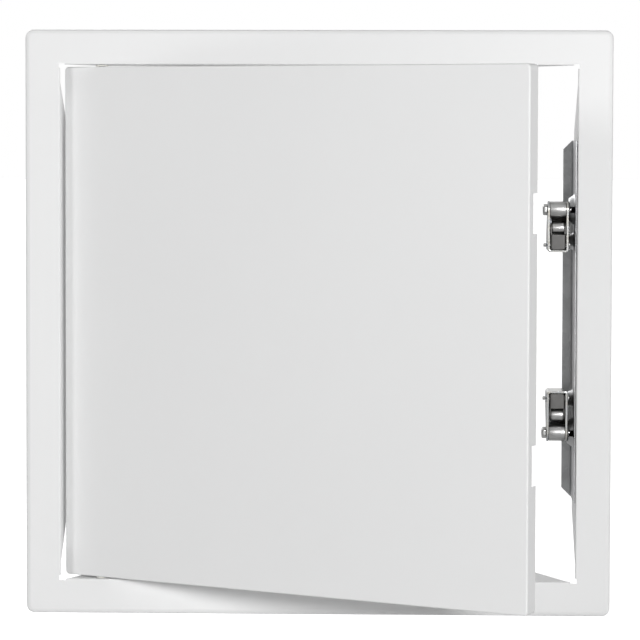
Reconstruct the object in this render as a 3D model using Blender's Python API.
"""Steel access panel: a folded frame with a tray door hung on two pivot pins, held shut by two roller latches.

Upright as it is set in a wall: +X to the right, +Y into the wall, +Z up. The origin is the middle of the
opening in the plane of the wall, which the frame's rim rests on.
"""

import math

import bmesh
import bpy
from mathutils import Matrix, Vector

MM = 0.001
FIT = 0.3 * MM  # clearance between pieces that seat on each other

# Frame
FRAME_SIZE = 457 * MM  # outer width and height
BORDER = 27.25 * MM  # from the frame's outer edge to the opening
FRAME_SHEET = 1.0 * MM
FRAME_PROUD = 3.0 * MM  # the border's face stands this far off the wall
RIM_WIDTH = 3.2 * MM  # sloped rim round the border
RIM_STEP = 0.5 * MM  # width of the rim's steep outer part
RIM_DROP = 1.1 * MM  # fall of its sloped part
FRAME_CORNER = 6.3 * MM
FRAME_BEND = 1.2 * MM
FLANGE_DEPTH = 47.0 * MM  # how far the flanges reach into the wall
FLANGE_LIP = 0.6 * MM  # depth past the fold where a flange starts
SIDE_FLANGE_START = 2.5 * MM  # from the opening's corner to the flange's end
SIDE_FLANGE_STEP = 13.6 * MM  # from the corner to where the flange deepens
SIDE_FLANGE_FULL = 51.0 * MM  # from the corner to its full depth
CROSS_FLANGE_START = 3.6 * MM
CROSS_FLANGE_STEP = 5.6 * MM
CROSS_FLANGE_FULL = 30.0 * MM

# Door
DOOR_GAP = 1.5 * MM  # all round, between the door and the flanges
DOOR_SHEET = 1.0 * MM
DOOR_DEPTH = 14.0 * MM
DOOR_BEND = 1.3 * MM
DOOR_CORNER = 3.0 * MM
DOOR_OPEN = math.radians(27.0)  # as it stands at rest
NOTCH_HEIGHT = 29.6 * MM
NOTCH_DEPTH = 7.0 * MM
NOTCH_OFFSET = 91.5 * MM  # middle of each notch above or below the door's middle

# Pivots
PIVOT_INSET = 30.8 * MM  # from the door's left edge
PIVOT_DEPTH = 6.5 * MM  # behind the door's face
PIVOT_PIN = 5.0 * MM
PIVOT_HEAD = 9.0 * MM
PIVOT_HEAD_HEIGHT = 2.0 * MM
PIVOT_REACH = 6.0 * MM  # pin beyond the hinge plate
PIVOT_WASHER = 10.0 * MM
HINGE_PLATE = 2.0 * MM
HINGE_PLATE_WIDTH = 24.0 * MM
HINGE_PLATE_DROP = 30.0 * MM
CLIP_THICKNESS = 0.8 * MM
CLIP_WALL = 2.2 * MM

# Latch rail
RAIL_SHEET = 0.8 * MM
RAIL_LENGTH = 283.0 * MM
RAIL_RAISED = 1.5 * MM  # the rail's middle lies this far above the frame's
RAIL_FRONT = 0.5 * MM
RAIL_SETBACK = 0.9 * MM  # rail's back short of the flange's back edge
RAIL_BEND = 2.0 * MM
RAIL_LIP = 7.4 * MM
RAIL_CHAMFER = 7.0 * MM
BOSS_BASE = 25.0 * MM
BOSS_TOP = 16.5 * MM
BOSS_DEPTH = 19.0 * MM  # middle of each boss behind the wall's plane
SMALL_BOSS_BASE = 15.0 * MM
SMALL_BOSS_TOP = 9.0 * MM
SLOT_HEIGHT = 5.0 * MM
SLOT_LENGTH = 8.0 * MM

# Latches
LATCH_SPACING = 175.0 * MM  # between the two barrels
LATCH_INSET = 14.15 * MM  # middle of the latch inward of the flange
BRACKET_INNER = 13.2 * MM
BRACKET_SHEET = 1.4 * MM
BRACKET_BACK = 36.5 * MM
BRACKET_FRONT_RISE = 8.0 * MM  # straight part of the front edge above the cap
BRACKET_BACK_RISE = 14.0 * MM  # straight part of the back edge above the cap
BRACKET_NOSE = 0.4 * MM  # plates' noses stand this far past the barrel
BACK_WALL_STOP = 5.2 * MM  # back wall's end short of the nose
BARREL_DIAMETER = 13.0 * MM
BARREL_WALL = 1.0 * MM
BARREL_DEPTH = 15.5 * MM
BARREL_SEAM = math.radians(80.0)
BARREL_PIN = 5.0 * MM
BARREL_HEAD = 9.4 * MM
BARREL_HEAD_LENGTH = 3.6 * MM
BARREL_PIN_TIP = 2.6 * MM  # end of the pin past the right plate
ROLLER_DIAMETER = 8.6 * MM
ROLLER_DEPTH = 13.0 * MM
ROLLER_DROP = 14.2 * MM  # from the barrel's axis toward the cap
LEVER_WIDTH = 11.8 * MM
LEVER_SHEET = 1.0 * MM
LEVER_FRONT = 8.6 * MM
LEVER_END = 3.4 * MM  # radius of the cheeks' round ends
LEVER_PIVOT_DEPTH = 12.0 * MM
LEVER_PIVOT_DROP = 27.5 * MM
LEVER_FRONT_RADIUS = 1.5 * MM
SMALL_PIN = 2.8 * MM
LEVER_PIN_HEAD = 5.0 * MM
LEVER_PIN_HEAD_HEIGHT = 1.2 * MM
LEVER_PIN_TIP = 3.0 * MM  # end of the pin past the left plate
STAR_CLIP = 7.0 * MM
STAR_CLIP_WAIST = 5.2 * MM
STAR_CLIP_SHEET = 1.0 * MM
CAP_DROP = 33.0 * MM
WIRE = 1.0 * MM
COIL_DIAMETER = 8.4 * MM
COIL_TURNS = 6
COIL_PITCH = 1.62 * MM
SPRING_LEG = 20.0 * MM  # from the barrel's axis to the leg's foot
SCREW_DEPTH = 30.0 * MM
SCREW_DROP = 25.5 * MM
SCREW = 4.0 * MM
SCREW_HEAD = 7.4 * MM
SCREW_HEAD_HEIGHT = 2.2 * MM
SCREW_PAST = 2.2 * MM  # end of the screw past the rail's boss

# Strikes
STRIKE_SHEET = 1.2 * MM
STRIKE_WIDTH = 8.0 * MM
STRIKE_FOOT = 18.0 * MM
STRIKE_FOOT_HEIGHT = 16.0 * MM
STRIKE_BEAD = 4.4 * MM
STRIKE_PAST = 3.2 * MM  # middle of the bead behind the barrel's axis

# Places that follow from the sizes above
BEYOND = 2 * FLANGE_DEPTH  # runs a cut well past the piece it opens
FACE = -FRAME_PROUD
HALF_OPENING = FRAME_SIZE / 2 - BORDER
HALF_DOOR = HALF_OPENING - DOOR_GAP
PIVOT = Vector((-HALF_DOOR + PIVOT_INSET, FACE + PIVOT_DEPTH, 0))
RAIL_FACE = HALF_OPENING - FIT - RAIL_SHEET
LATCH_X = HALF_OPENING - LATCH_INSET
PLATE_OUT = BRACKET_INNER / 2 + BRACKET_SHEET
BOSS_HEIGHT = RAIL_FACE - (LATCH_X + PLATE_OUT + FIT)
MOUTH_DROP = (BARREL_DIAMETER / 2 + ROLLER_DROP - ROLLER_DIAMETER / 2) / 2


def clear_scene():
    for obj in list(bpy.data.objects):
        bpy.data.objects.remove(obj, do_unlink=True)


def material(name, colour, roughness, metallic):
    made = bpy.data.materials.new(name)
    made.use_nodes = True
    shader = made.node_tree.nodes["Principled BSDF"]
    shader.inputs["Base Color"].default_value = (*colour, 1)
    shader.inputs["Roughness"].default_value = roughness
    shader.inputs["Metallic"].default_value = metallic
    return made


def empty(name, location, turn=0.0):
    made = bpy.data.objects.new(name, None)
    made.empty_display_size = 20 * MM
    made.location = location
    made.rotation_euler = (0, 0, turn)
    bpy.context.scene.collection.objects.link(made)
    return made


def add(name, bm, mat, location=(0, 0, 0), parent=None, smooth=None):
    """One object from a bmesh, with its origin at the given place in its parent's space."""
    bmesh.ops.remove_doubles(bm, verts=bm.verts, dist=1e-6)
    bmesh.ops.recalc_face_normals(bm, faces=bm.faces)
    mesh = bpy.data.meshes.new(name)
    bm.to_mesh(mesh)
    bm.free()
    if smooth is not None:
        mesh.shade_smooth()
        mesh.set_sharp_from_angle(angle=math.radians(smooth))
    made = bpy.data.objects.new(name, mesh)
    made.location = location
    made.parent = parent
    if mat:
        mesh.materials.append(mat)
    bpy.context.scene.collection.objects.link(made)
    return made


def cutter(name, bm, location=(0, 0, 0), parent=None):
    made = add(name, bm, None, location, parent)
    made.hide_render = True
    made.display_type = "WIRE"
    return made


def boolean(obj, other, operation="DIFFERENCE"):
    modifier = obj.modifiers.new(operation.title(), "BOOLEAN")
    modifier.operation = operation
    modifier.object = other


def solidify(obj, thickness):
    modifier = obj.modifiers.new("Sheet", "SOLIDIFY")
    modifier.thickness = thickness
    modifier.offset = -1
    modifier.use_even_offset = True
    modifier.use_quality_normals = True


def rounded_square(half, radius, y, steps):
    """Points round a square in the XZ plane, seen from the front, with steps segments in each corner."""
    points = []
    for quarter in range(4):
        for i in range(steps + 1):
            angle = math.pi / 2 * (quarter + i / steps)
            middle = Vector((half - radius, 0, half - radius))
            middle.rotate(Matrix.Rotation(-math.pi / 2 * quarter, 3, "Y"))
            points.append(middle + Vector((radius * math.cos(angle), y, radius * math.sin(angle))))
    return points


def ring(bm, points):
    verts = [bm.verts.new(p) for p in points]
    edges = [bm.edges.new((a, b)) for a, b in zip(verts, verts[1:] + verts[:1])]
    return verts, edges


def skin(bm, first, second):
    count = len(first)
    for i in range(count):
        j = (i + 1) % count
        bm.faces.new((first[i], first[j], second[j], second[i]))


def prism(outline, low, high, axis="X"):
    """A closed solid: an outline of (u, v) points carried along an axis from low to high."""
    bm = bmesh.new()
    order = {"X": (2, 0, 1), "Y": (0, 2, 1), "Z": (0, 1, 2)}[axis]

    def place(*uvw):
        return [uvw[i] for i in order]

    face = bm.faces.new([bm.verts.new(place(u, v, low)) for u, v in outline])
    swept = bmesh.ops.extrude_face_region(bm, geom=[face])
    moved = [v for v in swept["geom"] if isinstance(v, bmesh.types.BMVert)]
    bmesh.ops.translate(bm, verts=moved, vec=Vector(place(0, 0, high - low)))
    return bm


def circle(middle, radius, steps, start=0.0, sweep=2 * math.pi):
    """Points of an arc; a whole circle leaves out its last point."""
    last = steps if sweep >= 2 * math.pi - 1e-6 else steps + 1
    angles = [start + sweep * i / steps for i in range(last)]
    return [(middle[0] + radius * math.cos(a), middle[1] + radius * math.sin(a)) for a in angles]


def turned(profile, steps, axis="X"):
    """A solid of revolution about an axis, from (along, radius) points that start and end on the axis."""
    bm = bmesh.new()
    turn = {"X": lambda a, r: (a, 0, r), "Z": lambda a, r: (r, 0, a)}[axis]
    verts = [bm.verts.new(turn(a, r)) for a, r in profile]
    edges = [bm.edges.new(pair) for pair in zip(verts, verts[1:])]
    if abs(profile[0][1]) > 1e-9:
        edges.append(bm.edges.new((verts[-1], verts[0])))
    about = {"X": (1, 0, 0), "Z": (0, 0, 1)}[axis]
    bmesh.ops.spin(bm, geom=verts + edges, cent=(0, 0, 0), axis=about, angle=2 * math.pi, steps=steps)
    bmesh.ops.remove_doubles(bm, verts=bm.verts, dist=1e-6)
    bmesh.ops.dissolve_limit(bm, angle_limit=math.radians(0.5), verts=bm.verts, edges=bm.edges)
    return bm


def rod(radius, low, high, steps=20, chamfer=0.3 * MM, axis="X"):
    profile = [(low, 0), (low, radius - chamfer), (low + chamfer, radius)]
    profile += [(high - chamfer, radius), (high, radius - chamfer), (high, 0)]
    return turned(profile, steps, axis)


def drill(radius, low, high, axis="X", steps=20):
    return turned([(low, 0), (low, radius), (high, radius), (high, 0)], steps, axis)


# The frame is one sheet: a sloped rim, a flat border and four flanges folded into the wall.
def make_frame(white):
    bm = bmesh.new()
    steps = 6
    outer, _ = ring(bm, rounded_square(FRAME_SIZE / 2, FRAME_CORNER, 0, steps))
    half = FRAME_SIZE / 2
    shoulder, _ = ring(bm, rounded_square(half - RIM_STEP, FRAME_CORNER - RIM_STEP, FACE + RIM_DROP, steps))
    crown_radius = FRAME_CORNER - 0.8 * RIM_WIDTH
    crown, crown_edges = ring(bm, rounded_square(half - RIM_WIDTH, crown_radius, FACE, steps))
    skin(bm, outer, shoulder)
    skin(bm, shoulder, crown)
    fold = HALF_OPENING + FRAME_BEND
    inner_points, spans = [], []
    for quarter in range(4):
        upright = quarter % 2 == 0
        side = (SIDE_FLANGE_START, SIDE_FLANGE_STEP, SIDE_FLANGE_FULL)
        cross = (CROSS_FLANGE_START, CROSS_FLANGE_STEP, CROSS_FLANGE_FULL)
        spans.append([HALF_OPENING - away for away in (side if upright else cross)])
        start = spans[-1][0]
        turn = Matrix.Rotation(-math.pi / 2 * quarter, 3, "Y")
        for z in (-start, start, fold):
            inner_points.append(turn @ Vector((fold, FACE, z)))
    inner, inner_edges = ring(bm, inner_points)
    bmesh.ops.triangle_fill(bm, edges=crown_edges + inner_edges, use_beauty=True)
    for quarter, (start, step, full) in enumerate(spans):
        turn = Matrix.Rotation(-math.pi / 2 * quarter, 3, "Y")
        low, high = inner[3 * quarter], inner[3 * quarter + 1]
        for a in (math.pi / 8, math.pi / 4, 3 * math.pi / 8, math.pi / 2):
            x, y = fold - FRAME_BEND * math.sin(a), FACE + FRAME_BEND * (1 - math.cos(a))
            next_low, next_high = (bm.verts.new(turn @ Vector((x, y, z))) for z in (-start, start))
            bm.faces.new((low, high, next_high, next_low))
            low, high = next_low, next_high
        lip = FACE + FRAME_BEND + FLANGE_LIP
        rim = [bm.verts.new(turn @ Vector((HALF_OPENING, lip, z))) for z in (-start, -step, step, start)]
        deep = [bm.verts.new(turn @ Vector((HALF_OPENING, FLANGE_DEPTH, z))) for z in (-full, full)]
        bm.faces.new((low, high, *rim[::-1]))
        bm.faces.new((rim[1], rim[2], deep[1], deep[0]))
    frame = add("frame", bm, white, smooth=30)
    if frame.data.polygons[0].normal.y > 0:
        frame.data.flip_normals()
    solidify(frame, FRAME_SHEET)
    for name, side in (("top", 1), ("bottom", -1)):
        bore = drill(PIVOT_PIN / 2 + FIT, -4 * MM, 4 * MM, "Z")
        at = (PIVOT.x, PIVOT.y, side * (HALF_OPENING + FRAME_SHEET / 2))
        boolean(frame, cutter(f"cut_flange_{name}", bore, at))
    return frame


# The door is a shallow tray with a rounded edge and welded corners.
def make_door(white, pivot):
    bm = bmesh.new()
    steps = 4
    rows = []
    for a in (0, math.pi / 8, math.pi / 4, 3 * math.pi / 8, math.pi / 2):
        inward = DOOR_BEND * (1 - math.sin(a))
        rows.append((HALF_DOOR - inward, FACE + DOOR_BEND * (1 - math.cos(a)), DOOR_CORNER - inward))
    rows.append((HALF_DOOR, FACE + DOOR_DEPTH, DOOR_CORNER))
    rings = []
    for half, y, radius in rows:
        rings.append(ring(bm, [p - PIVOT for p in rounded_square(half, radius, y, steps)])[0])
    bm.faces.new(rings[0])
    for first, second in zip(rings, rings[1:]):
        skin(bm, first, second)
    door = add("door", bm, white, parent=pivot, smooth=30)
    if max(door.data.polygons, key=lambda p: p.area).normal.y > 0:
        door.data.flip_normals()
    solidify(door, DOOR_SHEET)
    for name, side in (("top", 1), ("bottom", -1)):
        bore = drill(PIVOT_PIN / 2 + 0.4 * MM, -4 * MM, 4 * MM, "Z")
        boolean(door, cutter(f"cut_door_{name}", bore, (0, 0, side * (HALF_DOOR - DOOR_SHEET / 2)), pivot))
    for name, side in (("upper", 1), ("lower", -1)):
        middle = Vector((HALF_DOOR, FACE + DOOR_DEPTH, side * NOTCH_OFFSET)) - PIVOT
        outline = [
            (-NOTCH_DEPTH, -NOTCH_HEIGHT / 2),
            (3 * MM, -NOTCH_HEIGHT / 2),
            (3 * MM, NOTCH_HEIGHT / 2),
            (-NOTCH_DEPTH, NOTCH_HEIGHT / 2),
        ]
        notch = prism(outline, -4 * MM, 4 * MM)
        boolean(door, cutter(f"cut_notch_{name}", notch, middle, pivot))
    return door


# One pivot at the top and one at the bottom: a headed pin through the flange, a washer, a plate and a clip.
def make_pivot(name, side, pivot, steel, zinc, nylon):
    flange_out = HALF_OPENING + FRAME_SHEET + FIT
    plate_out = HALF_DOOR - DOOR_SHEET - FIT
    plate_in = plate_out - HINGE_PLATE
    pin_end = plate_in - PIVOT_REACH
    head = [(flange_out + PIVOT_HEAD_HEIGHT, 0), (flange_out + PIVOT_HEAD_HEIGHT, PIVOT_HEAD / 2 - 0.6 * MM)]
    head += [(flange_out + PIVOT_HEAD_HEIGHT - 0.6 * MM, PIVOT_HEAD / 2), (flange_out, PIVOT_HEAD / 2)]
    shaft = [(flange_out, PIVOT_PIN / 2), (pin_end + 0.5 * MM, PIVOT_PIN / 2)]
    shaft += [(pin_end, PIVOT_PIN / 2 - 0.5 * MM), (pin_end, 0)]
    pin = turned([(side * a, r) for a, r in head + shaft], 20, "Z")
    add(f"{name}_pivot_pin", pin, steel, (PIVOT.x, PIVOT.y, 0), smooth=30)

    bore = PIVOT_PIN / 2 + FIT
    wash_in, wash_out = HALF_DOOR + FIT, HALF_OPENING - FIT
    rim = PIVOT_WASHER / 2
    washer = [(side * a, r) for a, r in ((wash_in, bore), (wash_in, rim), (wash_out, rim), (wash_out, bore))]
    add(f"{name}_pivot_washer", turned(washer, 20, "Z"), nylon, (PIVOT.x, PIVOT.y, 0), smooth=30)

    back = FACE + DOOR_SHEET + FIT - PIVOT.y
    front_reach = FACE + DOOR_DEPTH - 1.5 * MM - PIVOT.y
    bend = DOOR_BEND - DOOR_SHEET
    profile = [
        (back, side * (plate_out - bend)),
        (back + bend * 0.3, side * (plate_out - bend * 0.3)),
        (back + bend, side * plate_out),
        (front_reach, side * plate_out),
        (front_reach, side * plate_in),
        (back + HINGE_PLATE, side * plate_in),
        (back + HINGE_PLATE, side * (plate_out - HINGE_PLATE_DROP)),
        (back, side * (plate_out - HINGE_PLATE_DROP)),
    ]
    solid = prism(profile, -HINGE_PLATE_WIDTH / 2, HINGE_PLATE_WIDTH / 2)
    plate = add(f"{name}_hinge_plate", solid, zinc, parent=pivot)
    hole = drill(PIVOT_PIN / 2 + 0.4 * MM, -3 * MM, 3 * MM, "Z")
    boolean(plate, cutter(f"cut_plate_{name}", hole, (0, 0, side * (plate_out - HINGE_PLATE / 2)), pivot))

    # The clip turns with the door, its open side toward the plate's upright leg.
    open_half = math.acos(-(back + HINGE_PLATE + FIT) / (bore + CLIP_WALL))
    start, sweep = -math.pi / 2 + open_half, 2 * math.pi - 2 * open_half
    arc = circle((0, 0), bore + CLIP_WALL, 18, start, sweep) + circle((0, 0), bore, 18, start, sweep)[::-1]
    clip_out = plate_in - FIT
    clip = prism(arc, side * (clip_out - CLIP_THICKNESS), side * clip_out, "Z")
    add(f"{name}_pivot_clip", clip, steel, parent=pivot, smooth=30)


def frustum(base, top, height, middle, extra):
    """A cone cut short on the rail's face, pointing inward; extra runs it on into the sheet."""
    slope = (base - top) / height
    profile = [(extra, 0), (extra, (base + slope * extra) / 2), (-height, top / 2), (-height, 0)]
    bm = turned(profile, 28)
    bmesh.ops.translate(bm, verts=bm.verts, vec=middle)
    return bm


# The latch rail lies on the right flange, with a lip folded in at the back and a boss under each latch.
def make_rail(galvanised):
    half = RAIL_LENGTH / 2
    back = FLANGE_DEPTH - RAIL_SETBACK
    bend = (-RAIL_BEND, back - RAIL_SHEET - RAIL_BEND)
    profile = [(-RAIL_LIP, back - RAIL_SHEET)]
    profile += circle(bend, RAIL_BEND, 4, math.pi / 2, -math.pi / 2)
    profile += [(0, RAIL_FRONT), (RAIL_SHEET, RAIL_FRONT)]
    profile += circle(bend, RAIL_BEND + RAIL_SHEET, 4, 0, math.pi / 2)
    profile += [(-RAIL_LIP, back)]
    home = (RAIL_FACE, 0, RAIL_RAISED)
    rail = add("latch_rail", prism(profile, -half, half, "Z"), galvanised, home, smooth=30)
    for name, side in (("upper", 1), ("lower", -1)):
        corner = [
            (-RAIL_LIP - MM, side * (half - RAIL_CHAMFER - MM)),
            (-RAIL_LIP - MM, side * (half + MM)),
            (-RAIL_LIP + RAIL_CHAMFER + MM, side * (half + MM)),
        ]
        cut = prism(corner, back - RAIL_SHEET - MM, back + MM, "Y")
        boolean(rail, cutter(f"cut_corner_{name}", cut, home))
    for name, side in (("upper", 1), ("lower", -1)):
        barrel = side * LATCH_SPACING / 2
        screw = barrel - side * SCREW_DROP
        for kind, base, top, y, z in (
            ("boss", BOSS_BASE, BOSS_TOP, BOSS_DEPTH, barrel),
            ("small", SMALL_BOSS_BASE, SMALL_BOSS_TOP, SCREW_DEPTH, screw),
        ):
            solid = frustum(base, top, BOSS_HEIGHT, Vector((0, y, z)), RAIL_SHEET / 2)
            wall = 1.1 * RAIL_SHEET
            hollow = frustum(base - wall, top - wall, BOSS_HEIGHT, Vector((RAIL_SHEET, y, z)), RAIL_SHEET)
            boolean(rail, cutter(f"{kind}_{name}", solid, home), "UNION")
            boolean(rail, cutter(f"cut_{kind}_{name}", hollow, home))
        pins = (("bore", BARREL_PIN, BARREL_DEPTH, barrel), ("screw", SCREW, SCREW_DEPTH, screw))
        for kind, size, y, z in pins:
            bore = drill(size / 2 + FIT, -3 * MM, 3 * MM)
            boolean(rail, cutter(f"cut_{kind}_{name}", bore, (RAIL_FACE - BOSS_HEIGHT, y, RAIL_RAISED + z)))
        low, high, tall = RAIL_FRONT + 2 * MM, RAIL_FRONT + 2 * MM + SLOT_LENGTH, SLOT_HEIGHT / 2
        slot = [(low, -tall), (high, -tall), (high, tall), (low, tall)]
        slot = prism(slot, -BOSS_HEIGHT - 2 * MM, 2 * MM)
        boolean(rail, cutter(f"cut_slot_{name}", slot, (RAIL_FACE, 0, RAIL_RAISED + barrel)))
    return rail


def hull(points):
    """Outline round a set of points, by walking round them."""
    points = sorted(set(points))
    sides = []
    for way in (points, points[::-1]):
        side = []
        for p in way:
            while len(side) > 1:
                (u0, v0), (u1, v1) = side[-2:]
                if (u1 - u0) * (p[1] - v0) > (v1 - v0) * (p[0] - u0):
                    break
                side.pop()
            side.append(p)
        sides += side[:-1]
    return sides


def coil(side):
    """Centre line of the spring: a stub, the turns round the barrel pin and the leg down behind the lever."""
    radius = COIL_DIAMETER / 2
    start = -LEVER_WIDTH / 2 + LEVER_SHEET / 2
    share = (LEVER_PIVOT_DROP - SPRING_LEG) / (LEVER_PIVOT_DROP - ROLLER_DROP)
    cheek = LEVER_PIVOT_DEPTH + LEVER_END + share * (ROLLER_DEPTH - LEVER_PIVOT_DEPTH)
    foot_y = cheek + FIT + WIRE / 2 - BARREL_DEPTH
    points = [Vector((start, foot_y, -side * SPRING_LEG))]
    per_turn = 12
    for i in range(COIL_TURNS * per_turn + 1):
        angle = 2 * math.pi * i / per_turn
        along = start + COIL_PITCH * i / per_turn
        points.append(Vector((along, radius * math.cos(angle), side * radius * math.sin(angle))))
    points.append(points[-1] + Vector((0, 0.4 * MM, -side * 1.6 * MM)))
    return points


# Each latch is laid out from its barrel, with v measured from the barrel's axis away from the panel's middle.
def make_latch(name, side, steel, zinc, dark, spring_steel):
    home = Vector((LATCH_X, 0, RAIL_RAISED + side * LATCH_SPACING / 2))
    barrel_at = home + Vector((0, BARREL_DEPTH, 0))
    lever_at = home + Vector((0, LEVER_PIVOT_DEPTH, -side * LEVER_PIVOT_DROP))
    roller_at = home + Vector((0, ROLLER_DEPTH, -side * ROLLER_DROP))
    screw_at = home + Vector((0, SCREW_DEPTH, -side * SCREW_DROP))
    half = BRACKET_INNER / 2

    def flip(points):
        return [(u, side * v) for u, v in points]

    # Bracket: a cap, two side plates with noses round the barrel's pin, and a back wall short of the barrel.
    nose_radius = BARREL_DIAMETER / 2 + BRACKET_NOSE
    front = LEVER_FRONT - FIT
    shoulder = (BRACKET_BACK, -CAP_DROP + BRACKET_BACK_RISE)
    outline = hull(
        circle((BARREL_DEPTH, 0), nose_radius, 24)
        + [(front, -CAP_DROP + BRACKET_FRONT_RISE), (front, -CAP_DROP), (BRACKET_BACK, -CAP_DROP), shoulder]
    )
    bracket = add(f"{name}_latch_bracket", prism(flip(outline), -PLATE_OUT, PLATE_OUT), zinc, home)
    across, rise = BARREL_DEPTH - shoulder[0], -shoulder[1]
    lean = math.atan2(rise, across) - math.asin(nose_radius / math.hypot(across, rise))
    along, outward = (math.cos(lean), math.sin(lean)), (math.sin(lean), -math.cos(lean))
    run = math.sqrt(across**2 + rise**2 - nose_radius**2) - BACK_WALL_STOP
    inner_back = BRACKET_BACK - BRACKET_SHEET
    wall_bend = shoulder[1] - BRACKET_SHEET * math.tan((lean - math.pi / 2) / 2)
    wall_end = [shoulder[i] + run * along[i] for i in (0, 1)]
    pocket = [
        (-BEYOND, -CAP_DROP + BRACKET_SHEET),
        (inner_back, -CAP_DROP + BRACKET_SHEET),
        (inner_back, wall_bend),
        (wall_end[0] - BRACKET_SHEET * outward[0], wall_end[1] - BRACKET_SHEET * outward[1]),
        (wall_end[0] + BEYOND * outward[0], wall_end[1] + BEYOND * outward[1]),
        (-BEYOND, wall_end[1] + BEYOND * outward[1]),
    ]
    boolean(bracket, cutter(f"cut_{name}_pocket", prism(flip(pocket), -half, half), home))
    for kind, radius, at in (
        ("barrel", BARREL_PIN / 2 + FIT, barrel_at),
        ("lever", SMALL_PIN / 2 + FIT, lever_at),
    ):
        boolean(bracket, cutter(f"cut_{name}_{kind}", drill(radius, -12 * MM, 12 * MM), at))
    hole = drill(SCREW / 2 + FIT, half - 3 * MM, half + 4 * MM)
    boolean(bracket, cutter(f"cut_{name}_fixing", hole, screw_at))

    # Barrel: a rolled sleeve, open along its seam, which spaces the plates and covers the coils.
    radius, start = BARREL_DIAMETER / 2, math.radians(-45) + BARREL_SEAM / 2
    sweep = 2 * math.pi - BARREL_SEAM
    shell = circle((0, 0), radius, 24, start, sweep)
    shell += circle((0, 0), radius - BARREL_WALL, 24, start, sweep)[::-1]
    add(f"{name}_latch_barrel", prism(flip(shell), -half + FIT, half - FIT), steel, barrel_at, smooth=30)

    # Barrel pin: a six-sided head outside the left plate, and a shaft through to the boss on the rail.
    head = bmesh.new()
    wide = BARREL_HEAD / 2
    bmesh.ops.create_cone(head, cap_ends=True, segments=6, radius1=wide, radius2=wide, depth=BARREL_HEAD_LENGTH)
    bmesh.ops.bevel(head, geom=head.edges[:], offset=0.5 * MM, segments=1, affect="EDGES")
    bmesh.ops.rotate(head, verts=head.verts, matrix=Matrix.Rotation(math.pi / 2, 3, "Y"))
    bmesh.ops.translate(head, verts=head.verts, vec=(-PLATE_OUT - FIT - BARREL_HEAD_LENGTH / 2, 0, 0))
    pin = add(f"{name}_barrel_pin", head, steel, barrel_at)
    shaft = rod(BARREL_PIN / 2, -PLATE_OUT - FIT - BARREL_HEAD_LENGTH / 2, PLATE_OUT + BARREL_PIN_TIP)
    boolean(pin, cutter(f"{name}_barrel_shaft", shaft, barrel_at), "UNION")

    # Lever: a channel with its web to the front, which carries the roller between its cheeks.
    axle = (ROLLER_DEPTH - LEVER_PIVOT_DEPTH, LEVER_PIVOT_DROP - ROLLER_DROP)
    web_front = LEVER_FRONT - LEVER_PIVOT_DEPTH
    web_top = axle[1] - ROLLER_DIAMETER / 2 - 1.1 * MM
    bend = LEVER_FRONT_RADIUS
    corner = circle((web_front + bend, bend - LEVER_END), bend, 4, math.pi, math.pi / 2)
    outline = circle((0, 0), LEVER_END, 8, -math.pi / 2, math.pi / 2)
    outline += circle(axle, LEVER_END, 10, 0, math.pi * 0.9)
    outline += [(web_front, web_top), (web_front, corner[0][1])] + corner[1:]
    lever_pivot = empty(f"{name}_lever_pivot", lever_at)
    wide = LEVER_WIDTH / 2
    lever = add(f"{name}_latch_lever", prism(flip(outline), -wide, wide), dark, parent=lever_pivot)
    pocket_front = web_front + LEVER_SHEET
    pocket = [(pocket_front, -BEYOND), (BEYOND, -BEYOND), (BEYOND, BEYOND), (-BEYOND, BEYOND)]
    pocket += [(-BEYOND, web_top), (pocket_front, web_top)]
    inner = wide - LEVER_SHEET
    boolean(lever, cutter(f"cut_{name}_channel", prism(flip(pocket), -inner, inner), parent=lever_pivot))
    for kind, at in (("pivot", Vector()), ("axle", roller_at - lever_at)):
        hole = drill(SMALL_PIN / 2 + FIT, -10 * MM, 10 * MM)
        boolean(lever, cutter(f"cut_{name}_{kind}", hole, at, lever_pivot))

    # Roller on its axle, between the cheeks.
    length = inner - FIT
    bore, rim = SMALL_PIN / 2 + FIT, ROLLER_DIAMETER / 2
    ease = 0.5 * MM
    profile = [(-length, bore), (-length, rim - ease), (-length + ease, rim)]
    profile += [(-a, r) for a, r in profile[::-1]]
    add(f"{name}_latch_roller", turned(profile, 24), steel, roller_at - lever_at, lever_pivot, smooth=30)
    axle = rod(SMALL_PIN / 2, -half + FIT, half - FIT, 16)
    add(f"{name}_roller_axle", axle, steel, roller_at - lever_at, lever_pivot, smooth=30)

    # Lever pin, headed at the rail's side, with a four-armed clip on its other end.
    out = PLATE_OUT + FIT
    small, head, ease = SMALL_PIN / 2, LEVER_PIN_HEAD / 2, 0.3 * MM
    top, tip = out + LEVER_PIN_HEAD_HEIGHT, -out - LEVER_PIN_TIP
    pin = [(top, 0), (top, head - ease), (top - ease, head), (out, head), (out, small)]
    pin += [(tip + ease, small), (tip, small - ease), (tip, 0)]
    add(f"{name}_lever_pin", turned(pin, 16), steel, lever_at, smooth=30)
    star = []
    for i in range(4):
        middle = math.pi / 4 + math.pi / 2 * i
        star += circle((0, 0), STAR_CLIP / 2, 3, middle - 0.32, 0.64)
        star += circle((0, 0), STAR_CLIP_WAIST / 2, 1, middle + 0.6, 0.37)
    clip = add(f"{name}_lever_clip", prism(star, -out - STAR_CLIP_SHEET, -out), steel, lever_at)
    hole = drill(small + FIT, -out - 3 * MM, -out + 2 * MM, steps=16)
    boolean(clip, cutter(f"cut_{name}_clip", hole, lever_at))

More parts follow.
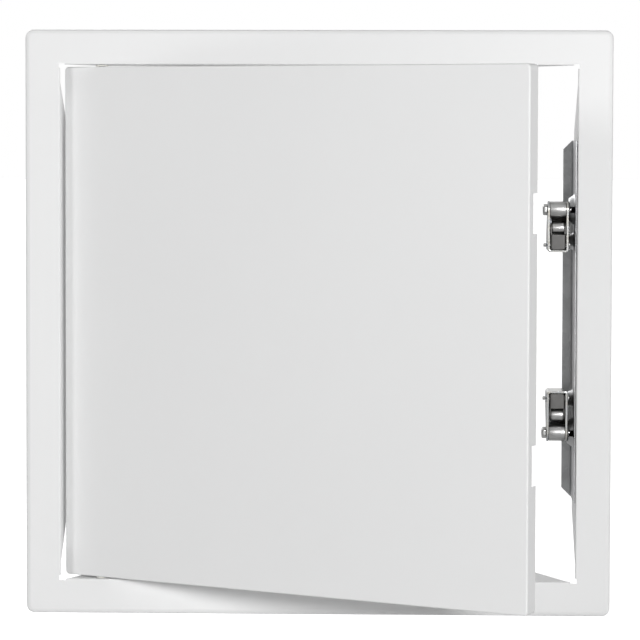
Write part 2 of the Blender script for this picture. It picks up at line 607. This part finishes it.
    # Fixing screw through the right plate into the small boss.
    seat, rim = half - FIT, SCREW_HEAD / 2
    head = [(seat - SCREW_HEAD_HEIGHT, 0), (seat - SCREW_HEAD_HEIGHT, rim - 1.1 * MM)]
    head += [(seat - SCREW_HEAD_HEIGHT / 2, rim - 0.3 * MM), (seat - 0.4 * MM, rim), (seat, rim)]
    tip, point = PLATE_OUT + FIT + RAIL_SHEET + SCREW_PAST, 0.8 * MM
    shaft = [(seat, SCREW / 2), (tip - point, SCREW / 2), (tip, SCREW / 2 - point), (tip, 0)]
    add(f"{name}_latch_screw", turned(head + shaft, 20), steel, screw_at, smooth=30)

    # Torsion spring round the barrel pin.
    points = coil(side)
    curve = bpy.data.curves.new(f"{name}_latch_spring", "CURVE")
    curve.dimensions = "3D"
    spline = curve.splines.new("POLY")
    spline.points.add(len(points) - 1)
    for point, place in zip(spline.points, points):
        point.co = (*place, 1)
    curve.bevel_depth = WIRE / 2
    curve.bevel_resolution = 1
    curve.use_fill_caps = True
    curve.materials.append(spring_steel)
    spring = bpy.data.objects.new(f"{name}_latch_spring", curve)
    spring.location = barrel_at
    bpy.context.scene.collection.objects.link(spring)


# A strike is a tongue with a beaded end that enters between the barrel and the roller.
def make_strike(name, side, pivot, zinc):
    level = RAIL_RAISED + side * (LATCH_SPACING / 2 - MOUTH_DROP)
    home = Vector((LATCH_X, FACE + DOOR_SHEET + FIT, level)) - PIVOT
    reach = BARREL_DEPTH + STRIKE_PAST - (FACE + DOOR_SHEET + FIT)
    bead = STRIKE_BEAD / 2
    neck = STRIKE_SHEET / 2
    angle = math.asin(neck / bead)
    outline = [(0, neck), (0, -neck)] + circle((reach, 0), bead, 14, -math.pi + angle, 2 * math.pi - 2 * angle)
    solid = prism(outline, -STRIKE_WIDTH / 2, STRIKE_WIDTH / 2)
    tongue = add(f"{name}_strike", solid, zinc, home, pivot, smooth=30)
    far = -side * (STRIKE_FOOT_HEIGHT - neck)
    foot = [(0, side * neck), (STRIKE_SHEET, side * neck), (STRIKE_SHEET, far), (0, far)]
    foot = prism(foot, -STRIKE_FOOT / 2, STRIKE_FOOT / 2)
    boolean(tongue, cutter(f"{name}_strike_foot", foot, home, pivot), "UNION")


def main():
    clear_scene()
    white = material("white powder coat", (0.86, 0.86, 0.86), 0.45, 0.0)
    galvanised = material("galvanised sheet", (0.22, 0.22, 0.22), 0.5, 0.6)
    zinc = material("zinc plated steel", (0.62, 0.62, 0.60), 0.35, 0.9)
    steel = material("bright steel", (0.66, 0.66, 0.66), 0.25, 1.0)
    dark = material("dark lever", (0.09, 0.09, 0.09), 0.4, 0.6)
    spring_steel = material("spring steel", (0.30, 0.30, 0.30), 0.3, 1.0)
    nylon = material("nylon", (0.80, 0.80, 0.76), 0.5, 0.0)
    pivot = empty("door_pivot", PIVOT, -DOOR_OPEN)
    make_frame(white)
    make_door(white, pivot)
    make_rail(galvanised)
    for name, side in (("top", 1), ("bottom", -1)):
        make_pivot(name, side, pivot, steel, zinc, nylon)
    for name, side in (("upper", 1), ("lower", -1)):
        make_latch(name, side, steel, zinc, dark, spring_steel)
        make_strike(name, side, pivot, zinc)


main()
